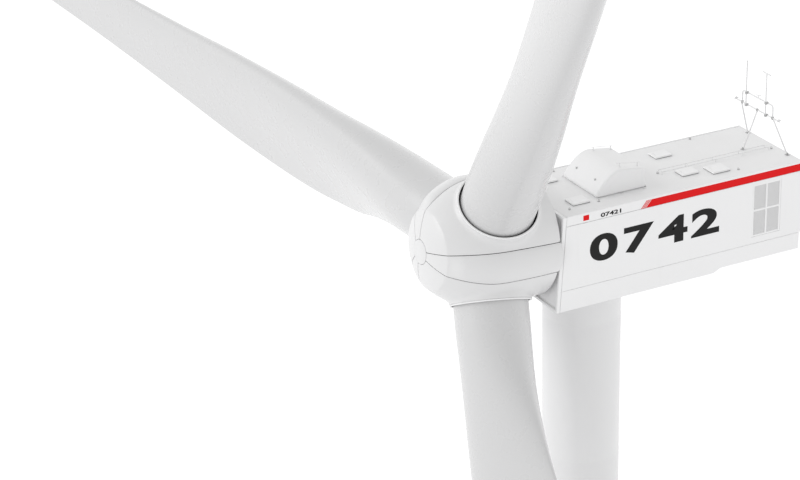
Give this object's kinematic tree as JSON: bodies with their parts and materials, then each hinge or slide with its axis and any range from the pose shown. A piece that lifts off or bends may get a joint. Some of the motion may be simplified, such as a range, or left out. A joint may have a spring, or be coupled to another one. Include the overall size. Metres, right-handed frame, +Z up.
{
  "type": "wind turbine nacelle, 1:10 scale model",
  "caption": "Scale model of a wind turbine head: box nacelle on a yawing tower section, tilted rotor with lobed spinner and pitching blades.",
  "frame": {"origin": "centre of the tower section's lower flange face, on the tower axis", "axes": "+Z up along the tower, -Y is the rotor's side (upwind), +Y the tail of the nacelle, +X the nacelle's right side"},
  "size_m": [9.8684, 2.5727, 11.1436],
  "materials": {
    "white_shell": "satin white gelcoat",
    "blade_coat": "semi-gloss white gelcoat",
    "tower_paint": "satin white paint",
    "flange_steel": "satin grey paint",
    "machine_steel": "grey primer",
    "louvre_grey": "matt grey",
    "rail_metal": "galvanised",
    "mast_paint": "satin"
  },
  "bodies": {
    "tower": {"tower_lower_flange": "flange_steel", "tower_shell": "tower_paint", "tower_upper_flange": "flange_steel", "yaw_ring": "machine_steel"},
    "nacelle": {"main_frame": "machine_steel", "bearing_housing": "machine_steel", "floor_panel": "white_shell", "front_frame": "white_shell", "front_wall": "white_shell", "rear_wall": "white_shell", "roof_panel": "white_shell", "side_skirt_right": "white_shell", "side_panel_right": "white_shell", "side_band_right": "white_shell", "side_skirt_left": "white_shell", "side_panel_left": "white_shell", "side_band_left": "white_shell", "louvre_right": "louvre_grey", "louvre_left": "louvre_grey", "roof_fairing": "white_shell", "fairing_rail_right": "rail_metal", "fairing_rail_left": "rail_metal", "roof_hatch_1": "white_shell", "roof_hatch_2": "white_shell", "roof_hatch_3": "white_shell", "roof_hatch_4": "white_shell", "roof_hatch_5": "white_shell", "roof_rail": "rail_metal", "mast_leg_right": "mast_paint", "mast_leg_left": "mast_paint", "mast_brace": "mast_paint", "mast_lower_bar": "mast_paint", "mast_upper_bar": "mast_paint", "mast_rod_left": "mast_paint", "mast_rod_right": "mast_paint"},
    "rotor": {"spinner_shell": "white_shell", "nose_disc": "white_shell", "spinner_back_plate": "white_shell", "hub_core": "machine_steel", "blade_collar_1": "white_shell", "blade_collar_2": "white_shell", "blade_collar_3": "white_shell"},
    "blade_1": {"blade_1": "blade_coat"},
    "blade_2": {"blade_2": "blade_coat"},
    "blade_3": {"blade_3": "blade_coat"}
  },
  "joints": [
    {"name": "nacelle_yaw", "type": "hinge", "parent": "tower", "child": "nacelle", "pos_m": [0, 0, 2.056], "axis": [0, 0, 1], "continuous": true},
    {"name": "rotor_spin", "type": "hinge", "parent": "nacelle", "child": "rotor", "pos_m": [0, -0.4427, 2.2667], "axis": [0, -0.9976, 0.0698], "continuous": true},
    {"name": "blade_pitch_1", "type": "hinge", "parent": "rotor", "child": "blade_1", "pos_m": [0, -0.4427, 2.2667], "axis": [-0.527, 0.0454, -0.8486], "range_deg": [0, 90]},
    {"name": "blade_pitch_2", "type": "hinge", "parent": "rotor", "child": "blade_2", "pos_m": [0, -0.4427, 2.2667], "axis": [-0.4669, 0.1655, 0.8687], "range_deg": [0, 90]},
    {"name": "blade_pitch_3", "type": "hinge", "parent": "rotor", "child": "blade_3", "pos_m": [0, -0.4427, 2.2667], "axis": [0.9939, 0.1019, -0.0419], "range_deg": [0, 90]}
  ]
}
